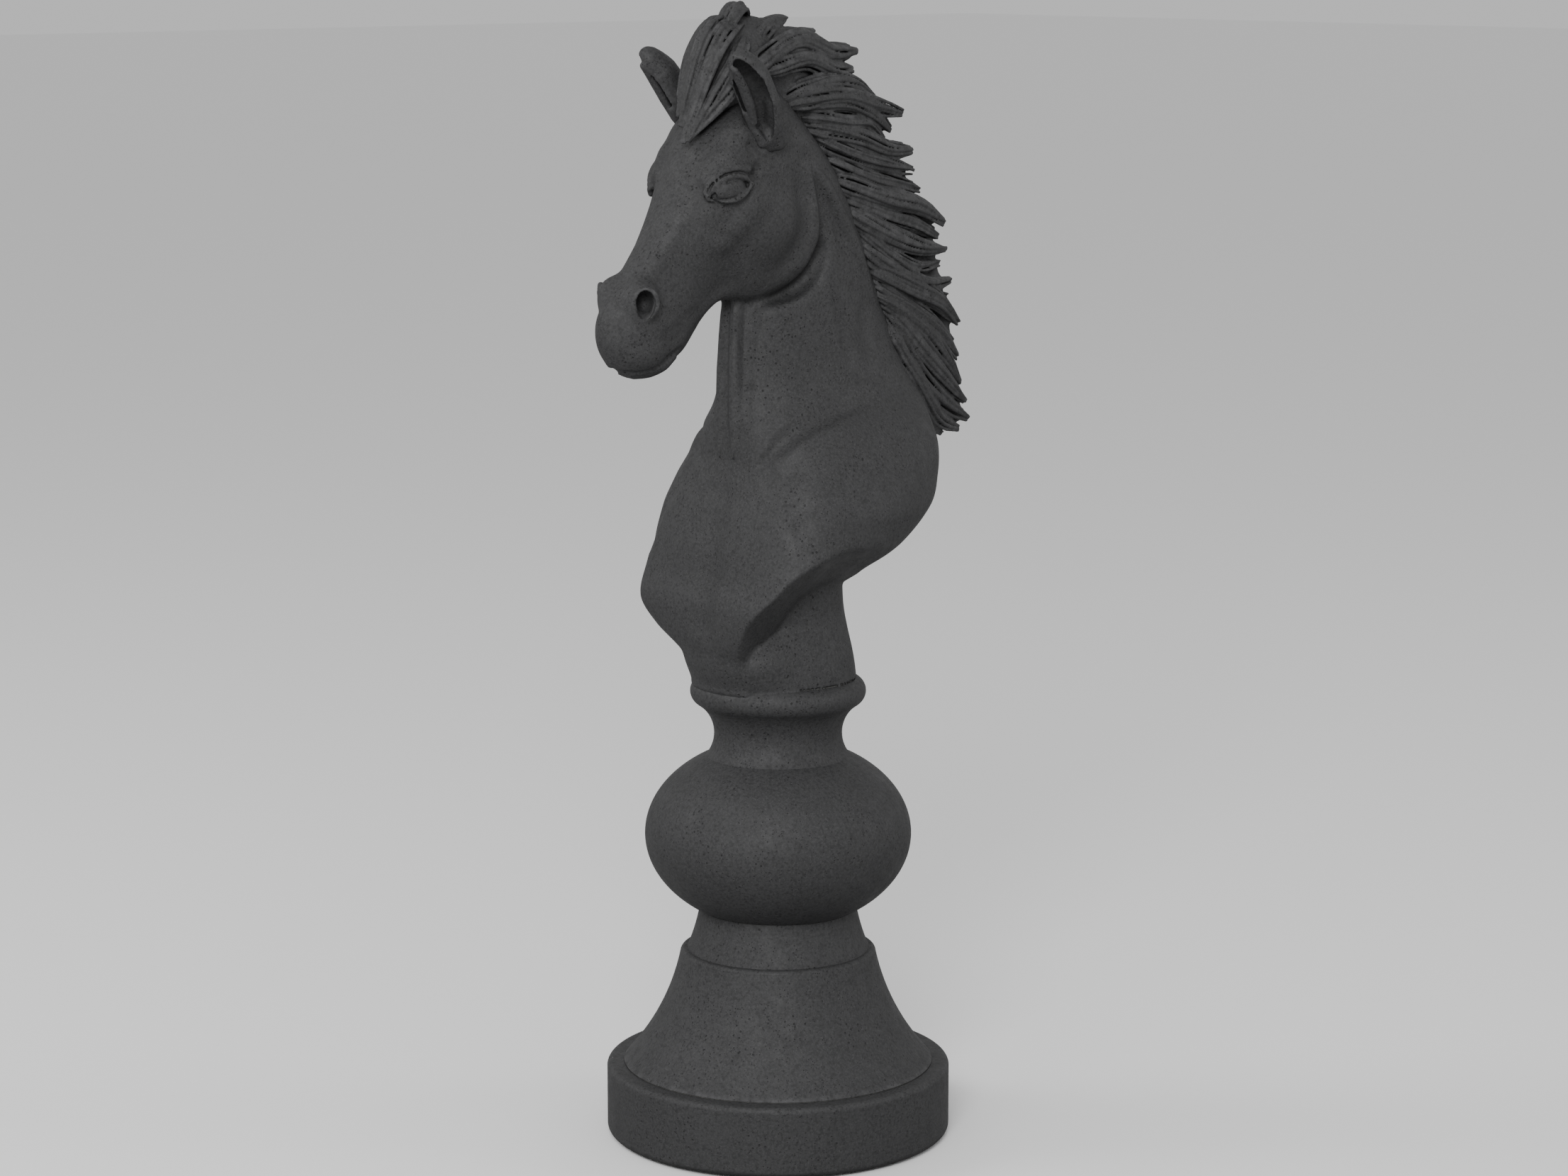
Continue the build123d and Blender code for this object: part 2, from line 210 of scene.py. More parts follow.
def curve(points, count=CURVE_POINTS):
    """Points along a smooth curve through the given ones."""
    points = np.array(points, float)
    ends = np.vstack([2 * points[0] - points[1], points, 2 * points[-1] - points[-2]])
    out = []
    spans = len(points) - 1
    for i in np.linspace(0, spans, count):
        k = min(int(i), spans - 1)
        t = i - k
        a, b, c, d = ends[k:k + 4]
        square, cube = 2 * a - 5 * b + 4 * c - d, 3 * b - a - 3 * c + d
        out.append(0.5 * (2 * b + (c - a) * t + square * t**2 + cube * t**3))
    return np.array(out)


def spline_table(rows, at):
    """Every column of a table of numbers, smoothly interpolated on its first column."""
    rows = np.array(rows, float)
    knots = rows[:, 0]
    k = np.clip(np.searchsorted(knots, at, side="right") - 1, 0, len(knots) - 2)
    span = knots[k + 1] - knots[k]
    t = np.clip((at - knots[k]) / span, 0.0, 1.0)
    result = []
    for column in rows.T[1:]:
        slopes = np.diff(column) / np.diff(knots)
        inner = np.where(slopes[1:] * slopes[:-1] > 0, 0.5 * (slopes[1:] + slopes[:-1]), 0.0)
        limit = 3.0 * np.minimum(abs(slopes[1:]), abs(slopes[:-1]))
        inner = np.clip(inner, -limit, limit)
        tangents = np.concatenate([[slopes[0]], inner, [slopes[-1]]])
        a, b = column[k], column[k + 1]
        ta, tb = tangents[k] * span, tangents[k + 1] * span
        leaving = a * (1 + 2 * t) * (1 - t) ** 2 + ta * t * (1 - t) ** 2
        result.append(leaving + b * t**2 * (3 - 2 * t) + tb * t**2 * (t - 1))
    return result


# ---------------------------------------------------------------- stem, chest, shoulders and neck
# height, half width, front y, back y, y of the widest place, squareness of the front
BODY = [
    (388, 70, -75, 64, -5, 2.0),
    (420, 70, -75, 64, -5, 2.0),
    (432, 68, -79, 61, -10, 2.1),
    (445, 70, -84, 58, -16, 2.4),
    (468, 95, -90, 53, -34, 3.0),
    (490, 110, -91, 52, -40, 3.6),
    (519, 112, -84, 56, -30, 3.4),
    (544, 112, -81, 118, -15, 3.0),
    (570, 112, -75, 153, 5, 3.0),
    (597, 105, -66, 166, 20, 3.0),
    (622, 94, -60, 170, 36, 2.8),
    (647, 78, -60, 165, 45, 2.5),
    (672, 58, -60, 160, 44, 2.2),
    (700, 50, -59, 145, 36, 2.0),
    (740, 45, -57, 124, 26, 2.0),
    (780, 44, -53, 104, 25, 2.0),
    (830, 44, -44, 80, 15, 2.0),
    (880, 42, -46, 48, -2, 2.0),
    (920, 36, -60, 10, -25, 2.0),
    (950, 26, -60, -20, -40, 2.0),
]


def body_distance(x, y, z):
    """The body as level slices, each an oval with a squarer front."""
    half, front, back, widest, power = spline_table(BODY, z.ravel())
    half, front, back, widest, power = (
        v.reshape(z.shape).astype(np.float32) for v in (half, front, back, widest, power)
    )
    dy = y - widest
    ahead = dy < 0
    reach = np.where(ahead, widest - front, back - widest)
    power = np.where(ahead, power, 2.0)
    norm = ((np.abs(x) / half) ** power + (np.abs(dy) / reach) ** power) ** (1.0 / power) + 1e-4
    return np.sqrt(x * x + dy * dy) * (1.0 - 1.0 / norm)


# ---------------------------------------------------------------- head
FACE = np.array([0.0, -103.0, 902.0])  # the forehead under the forelock
DOWN_FACE = np.array([0.0, -0.572, -0.820])
OUT_OF_FACE = np.array([0.0, -0.820, 0.572])
# distance down the face, half width, brow side, jaw side, depth of the widest place, squareness
HEAD = [
    (-70, 24, -30, -80, -50, 2.0),
    (-40, 43, -6, -112, -50, 2.2),
    (-8, 49, 1, -132, -46, 2.2),
    (25, 47, -1, -148, -44, 2.1),
    (42, 43, -3, -150, -44, 2.0),
    (58, 39, -5, -142, -44, 1.9),
    (85, 31, -8, -114, -42, 1.9),
    (108, 26, -8, -97, -44, 2.0),
    (135, 24, -7, -95, -46, 2.1),
    (158, 27, -3, -91, -45, 2.2),
    (172, 27, -4, -85, -45, 2.1),
    (186, 25, -10, -78, -46, 2.1),
    (197, 19, -20, -67, -46, 2.0),
    (204, 10, -32, -57, -45, 2.0),
]


def head_distance(x, y, z):
    """The head as slices square to the face line."""
    dy, dz = y - FACE[1], z - FACE[2]
    along = dy * DOWN_FACE[1] + dz * DOWN_FACE[2]
    out = dy * OUT_OF_FACE[1] + dz * OUT_OF_FACE[2]
    half, brow, jaw, widest, power = (
        v.reshape(along.shape).astype(np.float32) for v in spline_table(HEAD, along.ravel())
    )
    off = out - widest
    reach = np.where(off > 0, brow - widest, widest - jaw)
    norm = ((np.abs(x) / half) ** power + (np.abs(off) / reach) ** power) ** (1.0 / power) + 1e-4
    d = np.sqrt(x * x + off * off) * (1.0 - 1.0 / norm)
    ends = np.maximum(HEAD[0][0] - along, along - HEAD[-1][0])
    return np.maximum(d, ends)


def on_head(*places):
    """Points from (distance down the face, distance out of the face line, x) triples."""
    return [FACE + DOWN_FACE * a + OUT_OF_FACE * b + np.array([x, 0, 0]) for a, b, x in places]


def framed(origin, along, outward, size=1.0):
    """A function that places (a, u, n) triples: along, up and outward from an origin on the skin."""
    origin = np.array(origin)
    along = np.array(along, float) / np.linalg.norm(along)
    outward = np.array(outward, float) - along * np.dot(along, outward)
    outward /= np.linalg.norm(outward)
    up = np.cross(outward, along)

    def at(*places):
        return [origin + size * (along * a + up * u + outward * n) for a, u, n in places]

    return at


def sculpt_skull(clay):
    # a sharp join with the neck at the jaw, and a soft one behind the ears
    def join(z):
        return 2.0 + 8.0 * smooth_step(845, 900, z)

    clay.add(((0, -214, 640), (75, 70, 945), head_distance), join)
    # cheek: a round, flattened disc, running down to a thin rim round the back and bottom of the jaw
    clay.add(ball(on_head((22, -88, 18))[0], (34, 46, 46)), 9.0)
    clay.add(ball(on_head((46, -106, 10))[0], (27, 44, 43)), 10.0)
    rim = on_head((-34, -98, 40), (-22, -112, 41), (-9, -124, 42), (5, -135, 41), (17, -142, 37))
    rim += on_head((29, -146, 32), (40, -147, 27), (53, -141, 23), (66, -128, 19))
    rim += on_head((78, -115, 15), (88, -104, 10))
    clay.ridge(rim, (2.5, 4.5, 5, 4.5, 4.5, 4.5, 5), 9.0, 24)
    # the mound that the ear stands on
    clay.add(ball((33, -57, 899), (17, 19, 16)), 9.0)
    # jaw bone running forward to the chin
    clay.add(rope(on_head((84, -100, 12), (100, -90, 11), (118, -84, 9)), (8, 7, 5)), 9.0)
    # cheek bone from under the eye, fading down the face
    clay.add(rope(on_head((22, -60, 42), (44, -58, 39), (66, -56, 32)), (7, 7, 4)), 16.0)
    # the side of the forehead, from the ear to the brow
    clay.swell(rope(on_head((-36, -20, 36), (-16, -10, 42), (4, -12, 44)), (1, 1, -3)), 6.0, 24.0)
    # flat nose bone with soft edges
    nose = on_head((20, -18, 24), (60, -20, 16), (100, -20, 12), (140, -15, 11))
    clay.add(rope(nose, (8, 8, 7, 6)), 8.0)
    # hollow temple above the outer end of the brow, and the dip between nose bone and cheek
    clay.swell(rope(on_head((-12, -34, 52), (-22, -52, 50)), 2.0), -3.0, 18.0)
    clay.swell(rope(on_head((74, -28, 40), (100, -32, 34), (125, -36, 28)), 1.0), -2.2, 20.0)
    # soft shade inside the rim, faint furrows down the face and a crease below the cheek bone
    clay.stroke(on_head((-12, -110, 46), (6, -121, 45), (24, -128, 42), (42, -130, 36)), 1.0, -1.3, 24.0)
    clay.stroke(on_head((84, -28, 40), (98, -36, 36), (112, -44, 32)), 0.5, -1.3, 6.0)
    clay.stroke(on_head((80, -44, 44), (92, -50, 40)), 0.5, -1.2, 6.0)
    clay.stroke(on_head((66, -44, 42), (62, -62, 43), (68, -82, 42)), 0.5, -1.3, 6.0)


def sculpt_eye(clay):
    at = framed((44.3, -94.7, 862.5), (0.30, 0.94, 0.14), (0.94, -0.31, 0.10), 1.08)
    # brow, then the hollow of the socket with the eyeball in it
    clay.ridge(at((-17, 11, -7), (-6, 14, -5), (8, 15, -4.5), (20, 13, -7)), (5, 8, 8, 5), 10.0)
    clay.ridge(at((-12, 19, -8), (0, 23, -5.5), (13, 23, -6.5)), (4, 7, 5), 10.0)
    clay.cut(ball(at((0.5, 0, 3))[0], (5, 17, 9.5), (0, 0, -18)), 4.0)
    clay.add(ball(at((-0.5, -0.5, -5.5))[0], (13.5, 19, 14.2)), 1.0)
    inner, outer = (-20, -5.5, -1.0), (20, 0.5, -0.5)
    upper = at(inner, (-14, 2.5, 2.2), (-5, 7.8, 4.6), (5, 8.2, 4.8), (13, 5.2, 2.8), outer)
    lower = at(inner, (-12, -9.2, 1.2), (-1, -10.6, 3.0), (8, -8.4, 3.0), (15, -3.6, 1.6), outer)
    clay.ridge(upper, (1.5, 2.5, 2.8, 2.8, 2.3, 1.4), 2.2)
    clay.ridge(lower, (1.3, 2.0, 2.3, 2.0, 1.3), 2.2)
    # the fold above the lid, with the line between them, deep and dark at its outer end
    fold = at((-22, -1, -1.0), (-15, 8.5, 2.0), (-4, 13.6, 3.6), (8, 14, 3.6), (18, 11, 1.5))
    clay.ridge(fold, (1.5, 2.6, 2.8, 2.4), 7.0)
    line = at((-20, -0.5, 1.4), (-15, 6, 3.4), (-5, 10.8, 5.6), (7, 11, 5.6))
    line += at((16, 7.8, 3.6), (22, 5, 1.6))
    clay.groove(line, 1.2, 1.0)
    for a, u in ((22, 6.5), (25.5, 11)):
        clay.swell(rope(at((a, u, 5), (a, u, -16)), 1.2), -3.4, 6.5)
    # two short furrows behind the eye
    clay.swell(rope(at((27, 22, 0), (23, 30, 0)), 0.6), -2.0, 5.0)
    clay.swell(rope(at((34, 20, 0), (36, 32, 0)), 0.6), -1.8, 6.0)
    # the lines between the lids and the eyeball
    line = at((-16, -4, 1.6), (-10, 1.6, 4.2), (-3, 4.9, 6.0), (5, 5.3, 6.2), (12, 3, 4.4), (16, 0.6, 2))
    clay.groove(line, 0.9, 0.8)
    clay.groove(at((-13, -7.4, 2.0), (-2, -8.4, 4.6), (7, -6.4, 4.8), (14, -2.4, 2.8)), 0.9, 0.8)
    # the tear duct and the rings under the lower lid
    clay.swell(rope(at((-15, -6, 1), (-11, 1.5, 2)), 0.4), -1.3, 2.2)
    clay.swell(rope(at((-17.5, -5, 0), (-14.5, 1, 1)), 0.4), -1.0, 2.0)
    for drop, sink in ((14.0, -1.3), (20.0, -1.6)):
        bag = at((-14, -drop * 0.66, 0.5), (-5, -drop, 1.5), (6, -drop * 0.96, 1.5), (15, -drop * 0.5, 0))
        clay.stroke(bag, 0.4, sink, 3.6)
    clay.stroke(at((-32, 3, -5), (-26, 0, -4), (-22, -4, -3)), 0.5, -1.2, 4.0)


def sculpt_muzzle(clay):
    at = framed((29.0, -176.0, 767.0), (0.50, 0.86, -0.04), (0.84, -0.50, -0.10))
    # flared nostril wing, then its rim, the hole and the creases behind it
    clay.add(ball(at((-2, 1, -12))[0], (13, 16, 18)), 9.0)
    turns = np.linspace(-0.45 * pi, 0.85 * pi, 20)
    rim = at(*((9.0 * cos(t), 12.5 * sin(t) + 0.5, 0.6 + cos(t)) for t in turns))
    clay.add(rope(rim, (1.4, 2.6, 2.6, 1.6)), 2.5)
    clay.cut(ball(at((-0.5, 1.5, -2))[0], (13, 8, 11), (0, 0, -30)), 2.0)
    clay.cut(ball(at((-0.5, -5, 0))[0], (6, 6.2, 8), (0, 0, -30)), 2.0)
    clay.stroke(at((15, 5, -1), (16.5, -3, -1), (13, -12, -1), (8, -17, -1)), 0.6, -2.6, 4.0)
    clay.stroke(at((21, 3, -3), (21, -6, -3), (16, -16, -3)), 0.4, 1.3, 5.0)
    clay.stroke(at((27, 0, -5), (26, -10, -5)), 0.4, -1.0, 5.0)
    # the mouth: a line from the front back to its corner, close above the lower lip
    mouth = on_head((213, -37, 0), (206, -45, 7), (194, -57, 16), (183, -66, 20))
    mouth += on_head((171, -73, 23), (160, -80, 22))
    clay.stroke(mouth, 0.8, -3.6, 4.2)
    clay.ridge(on_head((196, -61, 0), (190, -67, 9), (180, -74, 14), (169, -79, 15)), (6, 6, 5, 3), 4.0)
    # swelling of the upper lip and the soft hollows behind the corner of the mouth
    clay.swell(rope(on_head((192, -44, 22), (182, -56, 26)), 3.0), 1.6, 14.0)
    clay.swell(rope(on_head((152, -66, 28), (160, -60, 30)), 2.0), -2.4, 14.0)
    clay.swell(rope(on_head((134, -70, 27), (128, -76, 26)), 1.0), -1.8, 10.0)


def sculpt_jaw_shadow(clay):
    """The crease round the back of the cheek and under the jaw, cut in the neck before the head is on."""
    corner = (18, -150, 39)
    back = on_head((-40, -92, 46), (-28, -112, 46), (-13, -127, 46), (3, -141, 43), corner)
    clay.groove(back, (1, 3, 4.5, 5.5, 6), 14.0)
    under = on_head(corner, (30, -154, 36), (44, -154, 32), (58, -147, 28), (72, -133, 24))
    under += on_head((86, -117, 18))
    clay.groove(under, (6, 9, 10, 10, 5), 13.0)


def sculpt_neck(clay):
    # two thin edges beside the flat windpipe, with a furrow behind each, all fading downwards
    edge = [(7, -52, 792), (8, -57, 745), (9, -60, 700), (9, -60, 655), (9, -64, 615), (8, -74, 575)]
    clay.stroke(edge, (0, 1, 1, 0, -5, -12), 6.5, 8.0)
    furrow = [(19, -47, 795), (20, -52, 750), (20, -55, 712), (22, -55, 660)]
    clay.stroke(furrow, (1, 1, -2, -10), -7.0, 15.0)
    # the tendon behind the cheek, the furrow beside it and two softer ones down the neck
    tendon = [(42, -3, 883), (42, 18, 860), (41, 36, 835), (38, 52, 814)]
    tendon += [(36, 67, 790), (34, 78, 770), (32, 92, 740)]
    clay.stroke(tendon, (-6, 0, 1, 1, 0, -3, -8), 5.0, 9.0)
    clay.stroke([(42, 8, 862), (42, 24, 838), (41, 36, 812), (40, 46, 790)], (-6, 0, 0, -7), -3.2, 11.0)
    clay.stroke([(44, 22, 775), (44, 32, 748), (46, 39, 720), (49, 41, 690)], (-8, 0, 0, -9), -2.8, 11.0)
    clay.swell(rope([(40, 66, 745), (45, 66, 705)], 1.0), -1.6, 14.0)
    # the crease over the shoulder, with the swelling muscle under it
    shoulder = [(60, 62, 668), (64, 24, 665), (63, -5, 658), (60, -27, 651)]
    shoulder += [(52, -46, 636), (42, -57, 620)]
    clay.stroke(shoulder, (-12, -3, 1, 1, 0, -5), -6.4, 13.0)
    clay.stroke([(68, 20, 650), (68, -8, 643), (64, -30, 635), (54, -50, 618)], 1.0, 1.2, 18.0)
    # where the shoulder meets the chest
    clay.stroke([(45, -55, 622), (64, -62, 595), (82, -63, 572), (100, -62, 535)], 0.5, -1.6, 10.0)
    # shallow furrow down the middle of the chest
    middle = [(0, -62, 640), (0, -72, 590), (0, -82, 550), (0, -92, 480)]
    clay.swell(rope(middle, (-20, 0, 1, 1)), -4.5, 24.0)


BUST_BOX = ((0, -214, 385), (123, 180, 955))  # the half with X from 0 up
BUST_FOOT = 420.5  # underside of the bust, on its mortar bed
NECK_TOP = 945.0  # inside the head
STEM_FOOT, STEM_TOP = 413.0, 620.0  # the stem ends below the collar's rounded edge, and inside the bust
LIP_INSIDE = 69.5  # below BUST_FOOT the stem is a lip with this inner radius
SPIGOT_RADIUS, SPIGOT_FOOT, SPIGOT_TOP = 46.0, 389.0, 425.0  # the plug into the collar's socket
# height, radius and centre y of the round stem between the collar and the bust
STEM = [
    (420, 70, 0),
    (430, 69, 0),
    (445, 66.5, 0),
    (465, 62, 0),
    (485, 58.5, 0),
    (510, 57.5, 0),
    (560, 58, 4),
    (620, 60, 8),
]
STEM_SWELL = 4.5  # how much wider the stem is in front, at its foot
# direction seen from above (0 is the horse's side, -90 its front), and the height at the axis
# and steepness of the cone that scoops out the underside of the shoulder there
SCOOP = [
    (-90, 290, 0.7),
    (-70, 330, 0.7),
    (-64, 378, 0.7),
    (-60, 400, 0.7),
    (-52, 416, 0.7),
    (-44, 428, 0.7),
    (-35, 444, 0.7),
    (-26, 455, 0.7),
    (-8, 463, 0.76),
    (10, 466, 0.73),
    (32, 471, 0.62),
    (90, 471, 0.62),
]
SCOOP_FAR_DROP = 45.0  # the cone is this much lower on the far side, which keeps more of its chest
SCOOP_FOOT_DROP = 30.0  # and this much lower at its foot, where it has to miss the collar
SCOOP_STRETCH = 1.25  # height above the cone over distance from it


def direction(x, y):
    """Degrees round the axis, the same on both sides: 0 to the side, -90 to the front."""
    return np.degrees(np.arctan2(y, np.abs(x) + 1e-3))


def stem_distance(x, y, z):
    """A turned stem that swells to meet the chest in front, just above the collar."""
    radius, middle = (v.reshape(z.shape).astype(np.float32) for v in spline_table(STEM, z.ravel()))
    swell = (STEM_SWELL + 0.5 * np.maximum(z - 420.0, 0.0)) * (1.0 - smooth_step(434, 478, z))
    radius = radius + swell * (1.0 - smooth_step(-62, -20, direction(x, y)))
    ends = np.maximum(STEM_FOOT - z, z - STEM_TOP)
    return np.maximum(np.sqrt(x * x + (y - middle) ** 2) - radius, ends)


def scoop_distance(x, y, z):
    """Everything under a cone round the axis."""
    turn = direction(x, y)
    apex, steep = (v.reshape(turn.shape).astype(np.float32) for v in spline_table(SCOOP, turn.ravel()))
    apex = apex - np.where(x < 0, SCOOP_FAR_DROP, 0.0) * (1.0 - smooth_step(-46, 25, turn))
    apex = apex - SCOOP_FOOT_DROP * (1.0 - smooth_step(422, 450, z))
    return (z - apex - steep * np.sqrt(x * x + y * y)) / SCOOP_STRETCH


def sculpt_chest(clay):
    """The scooped underside of the shoulder, and the stem under it, both blended softly at the foot."""
    scoop = (-123, -120, 420), (123, 180, 640), scoop_distance
    clay.cut(scoop, lambda z: 3.5 + 14.0 * (1.0 - smooth_step(430, 480, z)))
    stem = (-80, -80, STEM_FOOT), (80, 80, 600), stem_distance
    clay.add(stem, lambda z: 4.0 + 12.0 * (1.0 - smooth_step(425, 470, z)))


def make_bust():
    clay = Clay(*BUST_BOX, FINE)
    where, x, y, z = clay.cells(*BUST_BOX)
    ends = np.maximum(z - NECK_TOP, BUST_FOOT - z)
    clay.field[where] = np.maximum(body_distance(x, y, z), ends)
    sculpt_neck(clay)
    sculpt_jaw_shadow(clay)
    sculpt_skull(clay)
    sculpt_eye(clay)
    sculpt_muzzle(clay)
    clay.mirror()
    sculpt_chest(clay)
    # below its foot only the lip on the collar and the spigot in its socket stay
    where, x, y, z = clay.cells((-84, -84, 385), (84, 84, SPIGOT_TOP))
    across = np.sqrt(x * x + y * y)
    spigot = np.maximum(across - SPIGOT_RADIUS, np.maximum(SPIGOT_FOOT - z, z - SPIGOT_TOP))
    under = np.minimum(BUST_FOOT - z, LIP_INSIDE - across)
    clay.field[where] = np.minimum(np.maximum(clay.field[where], under), spigot)
    return clay.piece("horse_bust_casting")


# ---------------------------------------------------------------- ears
def make_ear(side, name):
    """A cupped ear bent forwards to its tip, with a thin inner rim and a broad outer one."""
    clay = Clay((22, -122, 880), (82, -18, 992), EAR_FINE)
    open_to = np.array((0.66, -0.66, -0.36))
    open_to /= np.linalg.norm(open_to)
    axis = [(48, -53, 901), (52, -61, 915), (55, -71, 934), (58, -84, 954), (61, -96, 967)]
    axis = curve([*axis, (62, -105, 973)], 24)
    clay.add(rope(axis - open_to * 2, (9, 13.5, 17, 17, 12, 2.4), open_to, 0.85), 1.0)
    inner_side = np.array((-0.30, -0.62, 0.30))
    hollow = axis[1:-2] + open_to * 4.5 + inner_side * 2.5
    clay.cut(rope(hollow, (5, 10, 13.5, 13.5, 8.5, 1.0), open_to, 0.95), 1.5)
    clay.add(rope(axis[5:17] + open_to * 7.0 + inner_side * 13.0, (2.5, 4.5, 4.5, 2.5)), 4.0)
    # the lobe at the outer base, the inner fold and the root that meets the skull
    clay.ridge([(50, -44, 900), (54, -51, 916), (58, -60, 934)], (7, 6, 4), 8.0, 8)
    clay.ridge([(48, -62, 900), (48, -72, 913), (48, -80, 924)], (5.0, 3.5, 1.6), 5.0, 8)
    clay.add(rope([(47, -54, 906), (42, -52, 900), (36, -50, 895)], (8, 9, 9)), 4.0)
    return clay.piece(name, flip=side < 0)


# ---------------------------------------------------------------- mane and forelock
# each lock of the mane: where it leaves the neck and where it ends (y, z),
# how far it bows up at one and at two thirds of its length, and half its width
LOCKS = [
    ((-44, 959), (86, 971), 21, 5, 10),
    ((-30, 960), (79, 957), 10, 1, 9),
    ((0, 936), (107, 931), 12, 11, 9),
    ((4, 930), (140, 916), 11, 5, 9),
    ((18, 927), (127, 902), 12, 8, 9),
    ((22, 916), (117, 894), 3, 8, 7),
    ((26, 906), (154, 882), 0, -5, 10),
    ((32, 895), (154, 864), -4, -3, 8),
    ((43, 877), (164, 847), -5, -3, 9),
    ((54, 859), (193, 816), 0, 4, 10),
    ((62, 843), (188, 804), -2, 1, 8),
    ((71, 829), (196, 792), -8, -8, 9),
    ((78, 815), (190, 778), -12, -13, 8),
    ((88, 796), (202, 762), -12, -12, 9),
    ((90, 790), (200, 748), -8, -6, 8),
    ((97, 776), (212, 723), 2, 5, 10),
    ((103, 761), (207, 706), -2, -1, 9),
    ((106, 752), (211, 692), 2, 3, 9),
    ((109, 747), (217, 668), 4, 2, 11),
    ((117, 734), (222, 650), -6, -4, 9),
    ((117, 722), (228, 634), -14, -12, 11),
    ((126, 700), (214, 626), -9, -12, 9),
    ((138, 678), (194, 622), -6, -6, 7),
]
# each lock on top of the head: root, two places it passes, and tip, as (x, y, z), then half its width
CROWN = [
    ((10, -72, 990), (8, -62, 1006), (4, -50, 1012), (0, -37, 1004), 9),
    ((17, -52, 975), (15, -34, 993), (10, -16, 999), (5, 4, 1003), 9),
    ((20, -36, 970), (18, -12, 987), (12, 12, 988), (6, 36, 991), 9),
    ((24, -24, 966), (21, 4, 982), (15, 28, 984), (9, 54, 978), 7),
    ((-17, -52, 975), (-15, -34, 990), (-10, -14, 996), (-4, 6, 999), 9),
    ((-20, -36, 970), (-18, -12, 984), (-13, 12, 985), (-6, 37, 985), 9),
    ((-24, -24, 966), (-21, 4, 980), (-15, 28, 979), (-9, 54, 972), 8),
    ((-14, -40, 990), (-23, -56, 980), (-27, -74, 962), (-24, -92, 938), 8),
    ((4, -58, 1003), (-5, -75, 995), (-11, -89, 972), (-14, -100, 938), 10),
    ((-8, -50, 994), (-14, -64, 985), (-17, -80, 964), (-19, -96, 936), 8),
    ((-2, -58, 1003), (-1, -77, 995), (-3, -96, 966), (-5, -109, 922), 9),
    ((4, -58, 1003), (8, -83, 995), (8, -101, 965), (3, -114, 914), 9),
    ((10, -54, 999), (18, -78, 988), (17, -98, 958), (8, -116, 900), 8),
    ((14, -50, 992), (26, -70, 974), (24, -90, 947), (10, -114, 902), 7),
    ((20, -46, 980), (32, -66, 962), (28, -86, 938), (13, -111, 908), 6),
]


def comb(clay, path, half, outward, chance, count):
    """A lock of hair: count tapering strands beside each other along a path. half is half its
    width, and outward the way its rounded face looks."""
    along = np.gradient(path, axis=0)
    along /= np.linalg.norm(along, axis=1)[:, None]
    face = outward - along * (along @ outward)[:, None]
    face /= np.linalg.norm(face, axis=1)[:, None]
    across = np.cross(along, face)
    t = np.linspace(0, 1, len(path))
    spread = np.interp(t, (0, 0.25, 0.65, 0.88, 1), (0.5, 1.0, 0.92, 0.58, 0.16))
    gap = 2.0 * half / (count - 1)
    for place in np.linspace(-1, 1, count):
        sway = 0.12 * np.sin(5.0 * t + chance.uniform(0, 6))
        v = (place + sway) * spread
        flick = chance.uniform(-2.0, 3.0) * t**4
        lift = (1.0 - place**2) * 0.6 * half * spread + chance.uniform(-1.2, 1.2)
        strand = path + across * (v * half - flick)[:, None] + face * lift[:, None]
        thick = gap * 0.68 * np.array((0.6, 1.0, 1.0, 1.0, 0.9, 0.65))
        clay.add(rope(strand, thick), 0.6)


def lock_line(root, tip, bow, bow_late):
    """A lock's path on the +X side, from inside the neck to its tip."""
    root = np.array(root)
    chord = np.array(tip) - root
    length = np.linalg.norm(chord)
    up = np.array((-chord[1], chord[0])) / length
    start = root - chord / length * 15 - up * 0.3 * bow
    skin = root + up * 0.3 * bow
    first = root + chord / 3 + up * bow
    second = root + chord * 2 / 3 + up * bow_late
    return curve([(21, *start), (29, *skin), (28, *first), (21, *second), (8, *tip)])


